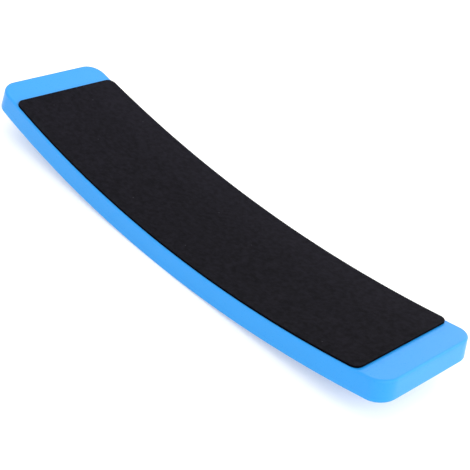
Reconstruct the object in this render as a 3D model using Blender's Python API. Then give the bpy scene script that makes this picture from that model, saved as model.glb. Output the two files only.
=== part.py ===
"""Spin board: a curved plastic rocker plank with a thin foam pad stuck along its top.

The board lies along X with its underside on Z = 0, and the origin is under its middle.
Every piece starts as a flat plate, drawn as if the board were straight, and is then
rolled onto the same arc, so that the plank, the adhesive and the pad stay parallel.
All sizes are in metres.
"""

from math import acos, copysign, cos, radians, sin, sqrt

import bmesh
import bpy

# The plank, measured flat along its top surface
PLANK_LENGTH = 0.2855
PLANK_WIDTH = 0.072  # at the middle, where it is widest
PLANK_THICKNESS = 0.0117
SIDE_BOW = 0.0024  # how far each long side bulges between the ends and the middle
CORNER_RADIUS = 0.0098
END_DRAFT = 0.0009  # how far the end walls draw in from top to bottom
TOP_EDGE_ROUND = 0.0012
BOTTOM_EDGE_ROUND = 0.0008

# The rocker arc that the top surface follows
ROCKER_RADIUS = 0.640

# The foam pad and the adhesive film under it, cut to one outline
PAD_LENGTH = 0.2536
PAD_RIM = 0.00075  # bare plastic along each long side of the pad
PAD_CORNER_RADIUS = 0.0043
PAD_THICKNESS = 0.0005
PAD_EDGE_ROUND = 0.0002
FILM_THICKNESS = 0.0001
BOND_CLEARANCE = 0.0003  # under the film, and again between the film and the pad

# How finely the curves are cut
STRIPS = 45  # flat strips along the arc; an odd number puts a level one at the middle
CORNER_STEPS = 8
PLANK_ROUND_STEPS = 3
PAD_ROUND_STEPS = 2

WELD_DISTANCE = 1e-6
SHARP_ANGLE = radians(35)
WALL_RISE = 0.5  # a face whose normal rises less than this is a side wall

# The level strip at the middle of the underside is a chord of its arc. The arc's centre
# is set by that chord, so that the strip lies on Z = 0.
STRIP_LENGTH = PLANK_LENGTH / STRIPS
HALF_STRIP_ANGLE = STRIP_LENGTH / 2 / ROCKER_RADIUS
ARC_CENTRE_Z = (ROCKER_RADIUS + PLANK_THICKNESS) * cos(HALF_STRIP_ANGLE)


def clear_scene():
    for old in list(bpy.data.objects):
        bpy.data.objects.remove(old, do_unlink=True)


def make_collection(name):
    collection = bpy.data.collections.new(name)
    bpy.context.scene.collection.children.link(collection)
    return collection


def make_material(name, colour, roughness):
    material = bpy.data.materials.new(name)
    material.use_nodes = True
    material.diffuse_color = (*colour, 1)
    surface = material.node_tree.nodes["Principled BSDF"]
    surface.inputs["Base Color"].default_value = (*colour, 1)
    surface.inputs["Roughness"].default_value = roughness
    surface.inputs["Metallic"].default_value = 0
    return material


def plan_outline(length, inset, corner_radius):
    """The plan of a plate with bowed long sides, and where its strips meet along X.

    Each long side is one arc, inset from the plank's own and parallel to it. A corner's
    arc touches that side and the straight end. The points run anticlockwise, and a long
    side has one wherever two strips meet.
    """
    half_plank = PLANK_LENGTH / 2
    bow_radius = (half_plank**2 + SIDE_BOW**2) / (2 * SIDE_BOW)
    bow_centre_y = PLANK_WIDTH / 2 - bow_radius
    side_radius = bow_radius - inset

    corner_x = length / 2 - corner_radius
    corner_reach = side_radius - corner_radius
    corner_y = bow_centre_y + sqrt(corner_reach**2 - corner_x**2)
    touch_angle = acos(corner_x / corner_reach)
    arc_step = touch_angle / CORNER_STEPS
    side_end = side_radius * cos(touch_angle) - corner_radius * arc_step / 2

    all_seams = [(number - STRIPS / 2) * STRIP_LENGTH for number in range(STRIPS + 1)]
    seams = [x for x in all_seams if abs(x) < side_end]

    quarter = []
    for step in range(CORNER_STEPS + 1):
        across = corner_radius * cos(step * arc_step)
        along = corner_radius * sin(step * arc_step)
        quarter.append((corner_x + across, corner_y + along))
    for x in reversed(seams):
        if x > 0:
            quarter.append((x, bow_centre_y + sqrt(side_radius**2 - x**2)))

    upper = quarter + [(-x, y) for x, y in reversed(quarter)]
    lower = [(-x, -y) for x, y in upper]
    return upper + lower, seams


def flat_plate(name, outline, seams, thickness):
    """A plate from Z = 0 down to its thickness, cut across into strips."""
    curve = bpy.data.curves.new(name, "CURVE")
    curve.dimensions = "2D"
    curve.fill_mode = "BOTH"
    curve.extrude = thickness / 2
    spline = curve.splines.new("POLY")
    spline.points.add(len(outline) - 1)
    for point, (x, y) in zip(spline.points, outline):
        point.co = (x, y, 0, 1)
    spline.use_cyclic_u = True

    drawing = bpy.data.objects.new(name + "_outline", curve)
    bpy.context.scene.collection.objects.link(drawing)
    graph = bpy.context.evaluated_depsgraph_get()
    mesh = bpy.data.meshes.new_from_object(drawing.evaluated_get(graph))
    bpy.data.objects.remove(drawing, do_unlink=True)
    mesh.name = name

    plate = bmesh.new()
    plate.from_mesh(mesh)
    bmesh.ops.remove_doubles(plate, verts=plate.verts, dist=WELD_DISTANCE)
    bmesh.ops.recalc_face_normals(plate, faces=plate.faces)
    level = [face for face in plate.faces if abs(face.normal.z) > WALL_RISE]
    bmesh.ops.dissolve_faces(plate, faces=level)
    bmesh.ops.translate(plate, verts=plate.verts, vec=(0, 0, -thickness / 2))
    for x in seams:
        bmesh.ops.bisect_plane(
            plate,
            geom=plate.verts[:] + plate.edges[:] + plate.faces[:],
            dist=WELD_DISTANCE,
            plane_co=(x, 0, 0),
            plane_no=(1, 0, 0),
        )
    return mesh, plate


def draw_in_ends(plate, seams, thickness):
    """Draw the bottom edge of each end in by the draft, fading out at the last seam."""
    start = max(seams)
    stretch = PLANK_LENGTH / 2 - start
    for vertex in plate.verts:
        beyond = abs(vertex.co.x) - start
        if beyond > 0 and vertex.co.z < -thickness / 2:
            vertex.co.x -= copysign(END_DRAFT * beyond / stretch, vertex.co.x)


def round_rim(plate, side, radius, steps):
    """Round the rim of the top face, with side 1, or of the bottom face, with side -1."""
    plate.normal_update()
    rim = []
    for edge in plate.edges:
        rises = sorted(side * face.normal.z for face in edge.link_faces)
        if rises[1] > WALL_RISE and abs(rises[0]) < WALL_RISE:
            rim.append(edge)
    bmesh.ops.bevel(
        plate,
        geom=rim,
        offset=radius,
        segments=steps,
        profile=0.5,
        affect="EDGES",
        loop_slide=True,
    )


def roll_onto_arc(plate, above_plank):
    """Bend a flat plate: its length becomes arc length on the plank's top surface.

    above_plank is how far the plate's own top lies above that surface.
    """
    for vertex in plate.verts:
        x, y, z = vertex.co
        angle = x / ROCKER_RADIUS
        radius = ROCKER_RADIUS - above_plank - z
        vertex.co = (radius * sin(angle), y, ARC_CENTRE_Z - radius * cos(angle))


def finish_plate(mesh, plate, material, collection):
    plate.to_mesh(mesh)
    plate.free()
    mesh.shade_smooth()
    mesh.set_sharp_from_angle(angle=SHARP_ANGLE)
    mesh.materials.append(material)
    piece = bpy.data.objects.new(mesh.name, mesh)
    collection.objects.link(piece)
    return piece


def make_board(collection):
    """The moulded plank, solid all through."""
    outline, seams = plan_outline(PLANK_LENGTH, 0, CORNER_RADIUS)
    mesh, plate = flat_plate("board", outline, seams, PLANK_THICKNESS)
    draw_in_ends(plate, seams, PLANK_THICKNESS)
    round_rim(plate, 1, TOP_EDGE_ROUND, PLANK_ROUND_STEPS)
    round_rim(plate, -1, BOTTOM_EDGE_ROUND, PLANK_ROUND_STEPS)
    roll_onto_arc(plate, 0)
    blue_plastic = make_material("blue_plastic", (0.07, 0.38, 0.90), 0.42)
    return finish_plate(mesh, plate, blue_plastic, collection)


def make_film(collection):
    """The adhesive film, cut flush with the pad."""
    outline, seams = plan_outline(PAD_LENGTH, PAD_RIM, PAD_CORNER_RADIUS)
    mesh, plate = flat_plate("adhesive_film", outline, seams, FILM_THICKNESS)
    roll_onto_arc(plate, BOND_CLEARANCE + FILM_THICKNESS)
    clear_adhesive = make_material("clear_adhesive", (0.80, 0.79, 0.72), 0.35)
    return finish_plate(mesh, plate, clear_adhesive, collection)


def make_pad(collection):
    """The foam sheet that the foot stands on."""
    outline, seams = plan_outline(PAD_LENGTH, PAD_RIM, PAD_CORNER_RADIUS)
    mesh, plate = flat_plate("foam_pad", outline, seams, PAD_THICKNESS)
    round_rim(plate, 1, PAD_EDGE_ROUND, PAD_ROUND_STEPS)
    pad_underside = BOND_CLEARANCE + FILM_THICKNESS + BOND_CLEARANCE
    roll_onto_arc(plate, pad_underside + PAD_THICKNESS)
    black_foam = make_material("black_foam", (0.012, 0.012, 0.014), 0.92)
    return finish_plate(mesh, plate, black_foam, collection)


def main():
    clear_scene()
    collection = make_collection("spin_board")
    make_board(collection)
    make_film(collection)
    make_pad(collection)


main()
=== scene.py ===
import math

import bmesh
import bpy
import numpy as np
from mathutils import Matrix, Vector


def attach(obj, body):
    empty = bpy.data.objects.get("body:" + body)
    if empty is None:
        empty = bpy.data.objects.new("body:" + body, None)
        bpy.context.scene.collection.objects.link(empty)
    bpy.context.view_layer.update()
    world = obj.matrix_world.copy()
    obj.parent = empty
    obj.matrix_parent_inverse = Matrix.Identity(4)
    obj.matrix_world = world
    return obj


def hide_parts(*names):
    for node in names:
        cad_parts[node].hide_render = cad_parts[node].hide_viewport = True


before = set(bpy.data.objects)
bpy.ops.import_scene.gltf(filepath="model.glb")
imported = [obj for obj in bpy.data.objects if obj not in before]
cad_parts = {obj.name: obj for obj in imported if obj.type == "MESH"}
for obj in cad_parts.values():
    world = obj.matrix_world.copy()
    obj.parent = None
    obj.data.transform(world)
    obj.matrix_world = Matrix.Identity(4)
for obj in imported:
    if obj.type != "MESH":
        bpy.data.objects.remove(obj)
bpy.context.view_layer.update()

print("spin board: frame loaded")

# Sizes are in metres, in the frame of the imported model: X along the board, Z up,
# with the floor at Z = 0 under the board's middle.

# The board, drawn flat as if it were straight. Its top surface is then rolled onto the
# rocker's arc, and its underside just touches the floor at the middle.
board = {
    "length": 0.2855,
    "width": 0.072,         # at the middle, where it is widest
    "sideBow": 0.0024,      # how far each long side bulges between the ends and the middle
    "cornerRadius": 0.0098,
    "thickness": 0.0117,
    "rockerRadius": 0.640,
}

# The outline that the pad and the film under it are die-cut to
dieCut = {
    "length": 0.2536,
    "rim": 0.00075,         # bare plastic left along each long side
    "cornerRadius": 0.0043,
}

# How the surfaces are meshed and shaded. In a piece's steps, side, corner and end count the
# points along a quarter of its outline, and face, wall and round the rings of its section.
meshing = {
    "faceGather": 1.5,      # above 1, so that the rings on a face gather towards its edge
    "weldDistance": 1e-6,
    "sliverLength": 1e-7,
    "sharpAngle": 40,       # degrees, above which a bend is shaded as a crisp edge
}

# The waves that make a surface gently uneven, with lengths as shares of their spacing
hills = {
    "waves": 24,
    "shortest": 0.7,
    "longest": 1.6,
}


def linear(hexColour):
    # sRGB hex to linear red, green, blue
    parts = np.array([int(hexColour[i:i + 2], 16) for i in (1, 3, 5)]) / 255
    low = parts / 12.92
    high = ((parts + 0.055) / 1.055) ** 2.4
    return tuple(float(v) for v in np.where(parts <= 0.04045, low, high))


def addNode(tree, kind, settings=None, values=None, links=None):
    # Adds a node, sets its properties and sockets, and links (node, output) pairs to inputs
    node = tree.nodes.new(kind)
    for name, value in (settings or {}).items():
        setattr(node, name, value)
    for name, value in (values or {}).items():
        node.inputs[name].default_value = value
    for name, (source, output) in (links or {}).items():
        tree.links.new(source.outputs[output], node.inputs[name])
    return node


def startMaterial(name):
    material = bpy.data.materials.new(name)
    material.use_nodes = True
    tree = material.node_tree
    tree.nodes.clear()
    coordinates = addNode(tree, "ShaderNodeTexCoord")
    return material, tree, coordinates


def endMaterial(tree, values, links):
    shader = addNode(tree, "ShaderNodeBsdfPrincipled", values=values, links=links)
    addNode(tree, "ShaderNodeOutputMaterial", links={"Surface": (shader, "BSDF")})


# Outlines and rolled plates

def arcPoints(centre, radius, start, stop, steps):
    # Points along an arc, without its end, as rows of (x, y, outward normal's x and y)
    angle = np.linspace(start, stop, steps, endpoint=False)
    normal = np.stack([np.cos(angle), np.sin(angle)], 1)
    return np.concatenate([np.array(centre) + radius * normal, normal], axis=1)


def planOutline(length, inset, cornerRadius, steps):
    # The closed outline of a plate with two bowed sides, two straight ends and four corner
    # arcs, anticlockwise, with its outward normals. A long side is an arc through the
    # middle's full width that falls by the bow at the board's ends, moved in by the inset.
    # A corner's circle touches the side's arc and the straight end, so its centre lies
    # (side radius - corner radius) from the side's. A quarter is worked out, from the
    # middle of an end to the middle of a side, and mirrored for the others.
    halfBoard = board["length"] / 2
    bow = board["sideBow"]
    bowRadius = (halfBoard ** 2 + bow ** 2) / (2 * bow)
    bowCentre = board["width"] / 2 - bowRadius
    sideRadius = bowRadius - inset
    cornerX = length / 2 - cornerRadius
    cornerY = bowCentre + math.sqrt((sideRadius - cornerRadius) ** 2 - cornerX ** 2)
    touch = math.acos(cornerX / (sideRadius - cornerRadius))

    endY = np.linspace(0, cornerY, steps["end"], endpoint=False)
    end = np.stack([length / 2 + 0 * endY, endY, 1 + 0 * endY, 0 * endY], 1)
    corner = arcPoints((cornerX, cornerY), cornerRadius, 0, touch, steps["corner"])
    side = arcPoints((0, bowCentre), sideRadius, touch, math.pi / 2, steps["side"])
    quarter = np.concatenate([end, corner, side])
    middle = np.array([[0, board["width"] / 2 - inset, 0, 1]])
    mirrored = (quarter * np.array([-1, 1, -1, 1]))[::-1]
    upper = np.concatenate([quarter, middle, mirrored[:-1]])
    whole = np.concatenate([upper, -upper])
    return whole[:, :2], whole[:, 2:]


def edgeProfile(thickness, topRound, bottomRound, steps):
    # The plate's section from the middle of its top, round the edge, to the middle of its
    # bottom, as rings of (share of the way in to the middle line, inset, depth).
    # Both edges are quarter circles, and the rings gather towards them.
    inward = np.linspace(1, 0, steps["face"]) ** meshing["faceGather"]
    arc = np.linspace(0, math.pi / 2, steps["round"])
    fall = np.linspace(topRound, thickness - bottomRound, steps["wall"])
    top = np.array([inward, topRound + 0 * inward, 0 * inward])
    upper = np.array([0 * arc, topRound * (1 - np.sin(arc)), topRound * (1 - np.cos(arc))])
    wall = np.array([0 * fall, 0 * fall, fall])
    lower = np.array([0 * arc, bottomRound * (1 - np.cos(arc)),
                      thickness - bottomRound * (1 - np.sin(arc))])
    bottom = np.array([inward[::-1], bottomRound + 0 * inward, thickness + 0 * inward])
    # A ring that two parts share is kept once
    return np.concatenate([top, upper[:, 1:], wall[:, 1:-1], lower, bottom[:, 1:]], axis=1)


def flatRings(outline, profile, draft, thickness):
    # Each ring is the outline moved in along its normal by the ring's inset, and then
    # drawn towards the plate's middle line by the ring's share. The end walls also come
    # in by the draft as they go down. The middle line stops half a width short of each
    # end. Returns along, across and depth, ring by ring.
    points, normals = outline
    share, inset, depth = (row[:, None] for row in profile)
    inset = inset + draft * depth / thickness * normals[:, 0] ** 2
    along = points[:, 0] - normals[:, 0] * inset
    across = points[:, 1] - normals[:, 1] * inset
    reach = points[:, 0].max() - points[:, 1].max()
    middle = np.clip(along, -reach, reach)
    along = along + (middle - along) * share
    across = across * (1 - share)
    return along, across, depth + 0 * along


def smoothHills(along, across, spacing, seed):
    # A gentle uneven surface between -1 and 1: the mean of waves of about this spacing in
    # seeded random directions
    draw = np.random.default_rng(seed)
    headings = draw.uniform(0, 2 * math.pi, hills["waves"])
    lengths = spacing * draw.uniform(hills["shortest"], hills["longest"], hills["waves"])
    starts = draw.uniform(0, 2 * math.pi, hills["waves"])
    total = 0 * along
    for heading, length, start in zip(headings, lengths, starts):
        way = along * math.cos(heading) + across * math.sin(heading)
        total += np.sin(2 * math.pi * way / length + start)
    return total / hills["waves"]


def rollOntoArc(along, across, depth):
    # Length along the flat plate becomes arc length on the plastic's top surface, and
    # depth is measured from that surface towards the outside of the arc
    angle = along / board["rockerRadius"]
    radius = board["rockerRadius"] + depth
    centre = board["thickness"] + board["rockerRadius"]
    return np.stack([radius * np.sin(angle), across, centre - radius * np.cos(angle)], -1)


def meshFromRings(name, points):
    # One quad between each two neighbouring points of each two neighbouring rings, closed
    # round the outline. The points of a plate's first and last ring meet in pairs on its
    # middle line, and are merged there, which closes the plate.
    rings, around = points.shape[:2]
    index = np.arange(rings * around).reshape(rings, around)
    ahead = np.roll(index, -1, axis=1)
    quads = np.stack([index[:-1], index[1:], ahead[1:], ahead[:-1]], -1).reshape(-1, 4)
    mesh = bpy.data.meshes.new(name)
    mesh.from_pydata(points.reshape(-1, 3).tolist(), [], quads.tolist())
    work = bmesh.new()
    work.from_mesh(mesh)
    bmesh.ops.remove_doubles(work, verts=work.verts, dist=meshing["weldDistance"])
    bmesh.ops.dissolve_degenerate(work, edges=work.edges, dist=meshing["sliverLength"])
    bmesh.ops.recalc_face_normals(work, faces=work.faces)
    work.to_mesh(mesh)
    work.free()
    mesh.shade_smooth()
    mesh.set_sharp_from_angle(angle=math.radians(meshing["sharpAngle"]))
    piece = bpy.data.objects.new(name, mesh)
    bpy.context.scene.collection.objects.link(piece)
    return piece


# The moulded plank

plank = {
    "topRound": 0.0012,
    "bottomRound": 0.0008,
    "draft": 0.0009,        # how far the end walls come in from top to bottom
    "sinkDepth": 0.00004,   # how far the cooling plastic wanders from true
    "sinkSpacing": 0.060,
    "sinkSeed": 3,
    "steps": {"side": 110, "corner": 18, "end": 20, "face": 26, "wall": 8, "round": 9},
    "blue": "#208dd9",
    "blueDeep": "#1c89d5",
    "cloudSize": 0.045,     # patches of slightly unlike colour
    "grainSize": 0.0005,    # the mould's spark finish, drawn coarser than the real 0.1 mm
    "grainHeight": 0.000006,
    "grainStrength": 0.6,
    "grainSpan": (0.3, 0.7),    # the noise's usual span, which becomes the roughness
    "roughness": (0.27, 0.35),
    "gloss": 0.32,
    "ior": 1.54,
}


def mouldedAbs():
    # Injection-moulded ABS, coloured all through, from a finely sparked mould. The eye
    # sees one even blue with a soft satin sheen and a grain that only shows up close.
    material, tree, coordinates = startMaterial("mouldedAbs")
    cloud = addNode(tree, "ShaderNodeTexNoise",
                    values={"Scale": 1 / plank["cloudSize"], "Detail": 3.0, "Roughness": 0.5},
                    links={"Vector": (coordinates, "Object")})
    blue = addNode(tree, "ShaderNodeMix", {"data_type": "RGBA"},
                   {6: (*linear(plank["blueDeep"]), 1), 7: (*linear(plank["blue"]), 1)},
                   {"Factor": (cloud, "Fac")})
    grain = addNode(tree, "ShaderNodeTexNoise",
                    values={"Scale": 1 / plank["grainSize"], "Detail": 2.0, "Roughness": 0.6},
                    links={"Vector": (coordinates, "Object")})
    rough = addNode(tree, "ShaderNodeMapRange",
                    values={"From Min": plank["grainSpan"][0], "From Max": plank["grainSpan"][1],
                            "To Min": plank["roughness"][0], "To Max": plank["roughness"][1]},
                    links={"Value": (grain, "Fac")})
    bump = addNode(tree, "ShaderNodeBump",
                   values={"Strength": plank["grainStrength"], "Distance": plank["grainHeight"]},
                   links={"Height": (grain, "Fac")})
    endMaterial(tree,
                {"IOR": plank["ior"], "Specular IOR Level": plank["gloss"], "Metallic": 0.0},
                {"Base Color": (blue, 2), "Roughness": (rough, "Result"),
                 "Normal": (bump, "Normal")})
    return material


def makePlank():
    thickness = board["thickness"]
    outline = planOutline(board["length"], 0, board["cornerRadius"], plank["steps"])
    profile = edgeProfile(thickness, plank["topRound"], plank["bottomRound"], plank["steps"])
    along, across, depth = flatRings(outline, profile, plank["draft"], thickness)
    # Only the upper half wanders, so that the underside stays on the floor
    wander = smoothHills(along, across, plank["sinkSpacing"], plank["sinkSeed"])
    depth = depth + plank["sinkDepth"] * wander * (depth < thickness / 2)
    piece = meshFromRings("mouldedPlank", rollOntoArc(along, across, depth))
    piece.data.materials.append(mouldedAbs())
    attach(piece, "root")
    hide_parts("board")
    return piece


mouldedPlank = makePlank()
print("spin board: plank moulded")


# The adhesive film under the pad

film = {
    "thickness": 0.0001,
    "setBack": 0.0004,      # the film stops this far inside the pad's edge
    "edgeRound": 0.0000125,
    "steps": {"side": 70, "corner": 8, "end": 12, "face": 20, "wall": 3, "round": 3},
    "amber": "#cfc9b4",
    "rippleSize": 0.002,
    "roughness": (0.2, 0.4),
    "ior": 1.47,
}


def acrylicAdhesive():
    # Clear acrylic adhesive on a thin polyester carrier, pale, slightly amber and glossy.
    # It is set back under the pad, so the eye hardly ever sees it.
    material, tree, coordinates = startMaterial("acrylicAdhesive")
    ripple = addNode(tree, "ShaderNodeTexNoise",
                     values={"Scale": 1 / film["rippleSize"], "Detail": 2.0},
                     links={"Vector": (coordinates, "Object")})
    rough = addNode(tree, "ShaderNodeMapRange",
                    values={"To Min": film["roughness"][0], "To Max": film["roughness"][1]},
                    links={"Value": (ripple, "Fac")})
    endMaterial(tree,
                {"Base Color": (*linear(film["amber"]), 1), "IOR": film["ior"], "Metallic": 0.0},
                {"Roughness": (rough, "Result")})
    return material


def makeFilm():
    length = dieCut["length"] - 2 * film["setBack"]
    inset = dieCut["rim"] + film["setBack"]
    cornerRadius = dieCut["cornerRadius"] - film["setBack"]
    outline = planOutline(length, inset, cornerRadius, film["steps"])
    profile = edgeProfile(film["thickness"], film["edgeRound"], film["edgeRound"], film["steps"])
    along, across, depth = flatRings(outline, profile, 0, film["thickness"])
    depth = depth - film["thickness"]
    piece = meshFromRings("padAdhesive", rollOntoArc(along, across, depth))
    piece.data.materials.append(acrylicAdhesive())
    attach(piece, "root")
    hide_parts("adhesive_film")
    return piece


padAdhesive = makeFilm()
print("spin board: adhesive laid")


# The foam pad

pad = {
    "top": 0.0012,          # how far its top stands above the plastic
    "topRound": 0.00025,
    "bottomRound": 0.00005,
    "unevenness": 0.00004,  # hills in the foam's skin
    "hillSpacing": 0.018,
    "hillSeed": 11,
    "steps": {"side": 110, "corner": 10, "end": 24, "face": 34, "wall": 4, "round": 6},
    "wallRise": 0.5,        # a face whose normal rises or falls less than this is cut edge
    "black": "#040408",
    "blackPale": "#17161d",
    # the cut wall's black, darker partly as painted shade
    "edgeBlack": "#070709",
    "mottleSize": 0.0026,
    "mottleSpan": (0.36, 0.64),     # the noise's usual span, which becomes the mottle
    "mottlePaleness": 0.75,         # shares of the way from black to blackPale
    # painted sheen: how much paler the face is painted towards one long side and one end
    "paintedSideSheen": 0.30,
    "paintedEndSheen": (0.04, 0.20),
    "palestSheenAcross": 0.034,   # across the board, where the painted sheen is palest
    "palestSheenAlong": -0.125,   # along the board, likewise
    "cellSize": 0.0006,     # closed cells, drawn coarser than the real 0.2 mm
    "cellDepth": 0.00004,
    "cellReach": 0.55,      # how far a pit reaches from its middle, as a share of the cell
    "faceCells": 0.7,       # how strongly the cells show on the face and on the cut edge
    "edgeCells": 1.0,
    "lintSpacing": 0.010,   # pale specks of dust and lint
    "lintReach": (0.04, 0.02),  # a speck's rim and its full core, as shares of the spacing
    "lintCover": 0.15,
    "lintGrey": "#77757c",
    "roughness": (0.86, 0.98),
    "edgeRoughness": 1.0,
    "faceGloss": 0.08,
    "edgeGloss": 0.03,
    "ior": 1.49,
}


def foamCells(tree, coordinates, strength):
    # Round pits a cell apart, flat where the cells meet
    cells = addNode(tree, "ShaderNodeTexVoronoi",
                    {"feature": "F1"}, {"Scale": 1 / pad["cellSize"]},
                    {"Vector": (coordinates, "Object")})
    pits = addNode(tree, "ShaderNodeMath", {"operation": "MINIMUM"}, {1: pad["cellReach"]},
                   {0: (cells, "Distance")})
    return addNode(tree, "ShaderNodeBump",
                   values={"Strength": strength, "Distance": pad["cellDepth"]},
                   links={"Height": (pits, "Value")})


def evaFoam():
    # Black EVA foam sheet with a buffed face. The eye sees a dead matt near-black that is
    # faintly mottled, pricked all over by fine closed cells, with a little pale lint. A painted
    # sheen makes the face a shade paler along one long side and towards one end.
    material, tree, coordinates = startMaterial("evaFoam")
    mottle = addNode(tree, "ShaderNodeTexNoise",
                     values={"Scale": 1 / pad["mottleSize"], "Detail": 6.0, "Roughness": 0.65},
                     links={"Vector": (coordinates, "Object")})
    shade = addNode(tree, "ShaderNodeMapRange",
                    values={"From Min": pad["mottleSpan"][0], "From Max": pad["mottleSpan"][1],
                            "To Min": 0.0, "To Max": pad["mottlePaleness"]},
                    links={"Value": (mottle, "Fac")})
    parts = addNode(tree, "ShaderNodeSeparateXYZ", links={"Vector": (coordinates, "Object")})
    # Painted sheen: the face is painted paler towards one long side and towards one end
    side = addNode(tree, "ShaderNodeMapRange", {"interpolation_type": "SMOOTHSTEP"},
                   {"From Min": 0.0, "From Max": pad["palestSheenAcross"],
                    "To Min": 0.0, "To Max": pad["paintedSideSheen"]},
                   {"Value": (parts, "Y")})
    end = addNode(tree, "ShaderNodeMapRange", {"interpolation_type": "SMOOTHSTEP"},
                  {"From Min": 0.0, "From Max": pad["palestSheenAlong"],
                   "To Min": pad["paintedEndSheen"][0], "To Max": pad["paintedEndSheen"][1]},
                  {"Value": (parts, "X")})
    paintedSheen = addNode(tree, "ShaderNodeMath", {"operation": "ADD"},
                      links={0: (side, "Result"), 1: (end, "Result")})
    # The mottle, which is the foam's own tone, plus the painted sheen
    mottleAndSheen = addNode(tree, "ShaderNodeMath", {"operation": "ADD"},
                       links={0: (shade, "Result"), 1: (paintedSheen, "Value")})
    black = addNode(tree, "ShaderNodeMix", {"data_type": "RGBA"},
                    {6: (*linear(pad["black"]), 1), 7: (*linear(pad["blackPale"]), 1)},
                    {"Factor": (mottleAndSheen, "Value")})
    lint = addNode(tree, "ShaderNodeTexVoronoi",
                   {"feature": "F1"}, {"Scale": 1 / pad["lintSpacing"]},
                   {"Vector": (coordinates, "Object")})
    speck = addNode(tree, "ShaderNodeMapRange",
                    values={"From Min": pad["lintReach"][0], "From Max": pad["lintReach"][1],
                            "To Min": 0.0, "To Max": pad["lintCover"]},
                    links={"Value": (lint, "Distance")})
    dusty = addNode(tree, "ShaderNodeMix", {"data_type": "RGBA"},
                    {7: (*linear(pad["lintGrey"]), 1)},
                    {"Factor": (speck, "Result"), 6: (black, 2)})
    rough = addNode(tree, "ShaderNodeMapRange",
                    values={"To Min": pad["roughness"][0], "To Max": pad["roughness"][1]},
                    links={"Value": (mottle, "Fac")})
    bump = foamCells(tree, coordinates, pad["faceCells"])
    endMaterial(tree,
                {"IOR": pad["ior"], "Specular IOR Level": pad["faceGloss"], "Metallic": 0.0},
                {"Base Color": (dusty, 2), "Roughness": (rough, "Result"),
                 "Normal": (bump, "Normal")})
    return material


def cutEvaFoam():
    # The same foam where the die cut it. The cells lie open there, which swallows more light,
    # and its colour is also darkened as painted shade on the wall: a blacker, rougher band than
    # the buffed face.
    material, tree, coordinates = startMaterial("cutEvaFoam")
    tint = addNode(tree, "ShaderNodeTexNoise",
                   values={"Scale": 1 / pad["cellSize"], "Detail": 2.0},
                   links={"Vector": (coordinates, "Object")})
    black = addNode(tree, "ShaderNodeMix", {"data_type": "RGBA"},
                    {6: (*linear(pad["edgeBlack"]), 1), 7: (*linear(pad["black"]), 1)},
                    {"Factor": (tint, "Fac")})
    bump = foamCells(tree, coordinates, pad["edgeCells"])
    endMaterial(tree,
                {"Roughness": pad["edgeRoughness"], "IOR": pad["ior"],
                 "Specular IOR Level": pad["edgeGloss"], "Metallic": 0.0},
                {"Base Color": (black, 2), "Normal": (bump, "Normal")})
    return material


def setFoamMaterials(mesh):
    # The buffed material on the face and the underside, and the cut one, darkened partly as
    # painted shade, on the wall
    mesh.materials.append(evaFoam())
    mesh.materials.append(cutEvaFoam())
    normals = np.empty(len(mesh.polygons) * 3)
    mesh.polygons.foreach_get("normal", normals)
    isWall = np.abs(normals.reshape(-1, 3)[:, 2]) < pad["wallRise"]
    mesh.polygons.foreach_set("material_index", isWall.astype(np.int32))


def makePad():
    thickness = pad["top"] - film["thickness"]
    outline = planOutline(dieCut["length"], dieCut["rim"], dieCut["cornerRadius"], pad["steps"])
    profile = edgeProfile(thickness, pad["topRound"], pad["bottomRound"], pad["steps"])
    along, across, depth = flatRings(outline, profile, 0, thickness)
    # The hills fade out down the wall, so that the underside lies on the film
    bumps = smoothHills(along, across, pad["hillSpacing"], pad["hillSeed"])
    upper = np.clip(1 - depth / thickness, 0, 1)
    depth = depth - pad["top"] - pad["unevenness"] * bumps * upper
    piece = meshFromRings("foamFootPad", rollOntoArc(along, across, depth))
    setFoamMaterials(piece.data)
    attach(piece, "root")
    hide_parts("foam_pad")
    return piece


foamFootPad = makePad()
print("spin board: foam pad stuck down")


# The studio: a pale floor that sweeps up into a backdrop all round

studio = {
    "floorRadius": 3.2,
    "sweepRadius": 0.9,
    "wallTop": 2.6,
    "steps": {"floor": 12, "sweep": 16, "turn": 96},
    "opal": "#dfdedb",
    "underglow": 0.3,
    "stippleSize": 0.004,
    "stippleHeight": 0.0001,
    "stippleStrength": 0.1,
    "roughness": 0.95,
    "domeStrength": 1.28,
}

# Three soft lights, aimed at the board. The key stands in front, to the camera's right.
# The side strip lies beyond the near end, whose rim it brightens. The back one puts the
# sheen on the level plastic.
softboxes = {
    "keySoftbox": {"power": 29.0, "place": (2.25, -1.05, 1.68), "size": (2.25, 2.25)},
    "sideStrip": {"power": 25.0, "place": (2.19, 1.53, 1.36), "size": (3.2, 0.5)},
    "backSoftbox": {"power": 10.4, "place": (-0.60, 2.53, 1.48), "size": (2.25, 2.25)},
}


def opalAcrylic():
    # Sand-blasted opal acrylic, lit faintly from below as on a product photographer's
    # table: an even white without sheen, on which a shadow is hardly seen.
    material, tree, coordinates = startMaterial("opalAcrylic")
    stipple = addNode(tree, "ShaderNodeTexNoise",
                      values={"Scale": 1 / studio["stippleSize"], "Detail": 2.0},
                      links={"Vector": (coordinates, "Object")})
    bump = addNode(tree, "ShaderNodeBump",
                   values={"Strength": studio["stippleStrength"],
                           "Distance": studio["stippleHeight"]},
                   links={"Height": (stipple, "Fac")})
    endMaterial(tree,
                {"Base Color": (*linear(studio["opal"]), 1), "Roughness": studio["roughness"],
                 "Specular IOR Level": 0.0, "Emission Color": (1, 1, 1, 1),
                 "Emission Strength": studio["underglow"]},
                {"Normal": (bump, "Normal")})
    return material


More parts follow.
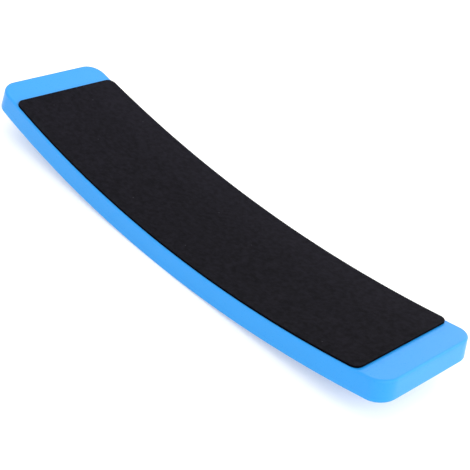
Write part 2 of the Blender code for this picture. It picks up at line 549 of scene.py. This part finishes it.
def makeStage():
    # A profile turned about Z: out along the floor, up a quarter circle, up the wall
    steps = studio["steps"]
    flat = np.linspace(0, studio["floorRadius"], steps["floor"])
    bend = np.linspace(0, math.pi / 2, steps["sweep"])[1:]
    sweepReach = studio["floorRadius"] + studio["sweepRadius"] * np.sin(bend)
    sweepHeight = studio["sweepRadius"] * (1 - np.cos(bend))
    reach = np.concatenate([flat, sweepReach, sweepReach[-1:]])
    height = np.concatenate([0 * flat, sweepHeight, [studio["wallTop"]]])
    turn = np.linspace(0, 2 * math.pi, steps["turn"], endpoint=False)
    points = np.stack([np.outer(reach, np.cos(turn)), np.outer(reach, np.sin(turn)),
                       np.outer(height, np.ones(steps["turn"]))], -1)
    sweep = meshFromRings("studioSweep", points[::-1])
    sweep.data.materials.append(opalAcrylic())


def addSoftbox(name, box):
    lamp = bpy.data.lights.new(name, "AREA")
    lamp.shape = "RECTANGLE"
    lamp.size, lamp.size_y = box["size"]
    lamp.energy = box["power"]
    softbox = bpy.data.objects.new(name, lamp)
    softbox.location = box["place"]
    softbox.rotation_euler = (-Vector(box["place"])).to_track_quat("-Z", "Y").to_euler()
    bpy.context.scene.collection.objects.link(softbox)


def makeLight():
    world = bpy.data.worlds.new("softDome")
    world.use_nodes = True
    sky = world.node_tree.nodes["Background"]
    sky.inputs["Color"].default_value = (1, 1, 1, 1)
    sky.inputs["Strength"].default_value = studio["domeStrength"]
    bpy.context.scene.world = world
    for name, box in softboxes.items():
        addSoftbox(name, box)
    bpy.context.scene.view_settings.view_transform = "Standard"


makeStage()
makeLight()
print("spin board: studio lit")


# The camera, from the photograph's viewing angle. The picture is 470 pixels square.

shot = {
    "place": (0.33256, -0.39820, 0.34850),
    "aim": (0.01262, 0.00475, 0.01170),
    "roll": 13.63,          # degrees, anticlockwise as the camera sees it
    "focalPixels": 1211.8,
    "picturePixels": 470,
    "sensor": 36.0,         # millimetres
    "nearest": 0.01,
}


def makeCamera():
    lens = bpy.data.cameras.new("photoCamera")
    lens.sensor_width = shot["sensor"]
    lens.lens = shot["focalPixels"] / shot["picturePixels"] * shot["sensor"]
    lens.clip_start = shot["nearest"]
    camera = bpy.data.objects.new("photoCamera", lens)
    sight = Vector(shot["aim"]) - Vector(shot["place"])
    level = sight.to_track_quat("-Z", "Y").to_matrix().to_4x4()
    roll = Matrix.Rotation(math.radians(shot["roll"]), 4, "Z")
    camera.matrix_world = Matrix.Translation(shot["place"]) @ level @ roll
    bpy.context.scene.collection.objects.link(camera)
    bpy.context.scene.camera = camera


makeCamera()
print("spin board: camera set")
